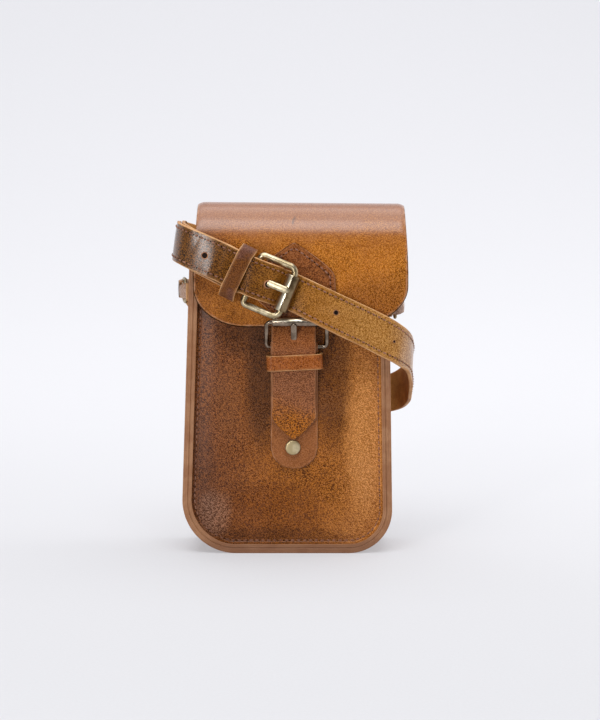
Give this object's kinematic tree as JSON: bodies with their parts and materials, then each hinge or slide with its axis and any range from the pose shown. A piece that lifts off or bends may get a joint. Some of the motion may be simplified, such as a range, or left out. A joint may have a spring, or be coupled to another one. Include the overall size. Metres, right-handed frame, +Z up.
{
  "type": "leather shoulder bag",
  "caption": "Small upright leather shoulder bag with a rounded pouch, front flap, buckled closure strap and a shoulder strap wrapped round the body.",
  "frame": {"origin": "middle of the flat base of the pouch, on the surface it stands on", "axes": "+Z up, the front with the flap and closure faces -Y, +X to the right of someone who looks at the front"},
  "size_m": [0.1391, 0.0765, 0.2005],
  "materials": {
    "panel_leather": "semi-gloss mottled brown leather",
    "rim_leather": "smooth burnished cut edge",
    "flap_leather": "semi-gloss tan leather",
    "closure_leather": "semi-gloss reddish brown leather",
    "strap_leather": "semi-gloss olive tan leather",
    "antique_brass": "aged polished brass",
    "thread": "waxed sewing thread"
  },
  "bodies": {
    "root": {"front_panel": "panel_leather", "gusset": "rim_leather", "back_panel_flap": "flap_leather", "closure_strap": "closure_leather", "closure_base": "closure_leather", "closure_keeper": "closure_leather", "closure_rivet": "antique_brass", "closure_buckle_frame": "antique_brass", "closure_roller": "antique_brass", "closure_prong": "antique_brass", "strap_billet": "strap_leather", "strap_buckle_piece": "strap_leather", "strap_keeper": "strap_leather", "strap_buckle_frame": "antique_brass", "strap_roller": "antique_brass", "strap_prong": "antique_brass", "side_loop_left": "rim_leather", "side_loop_right": "rim_leather", "side_ring_left": "antique_brass", "side_ring_right": "antique_brass"}
  },
  "joints": []
}
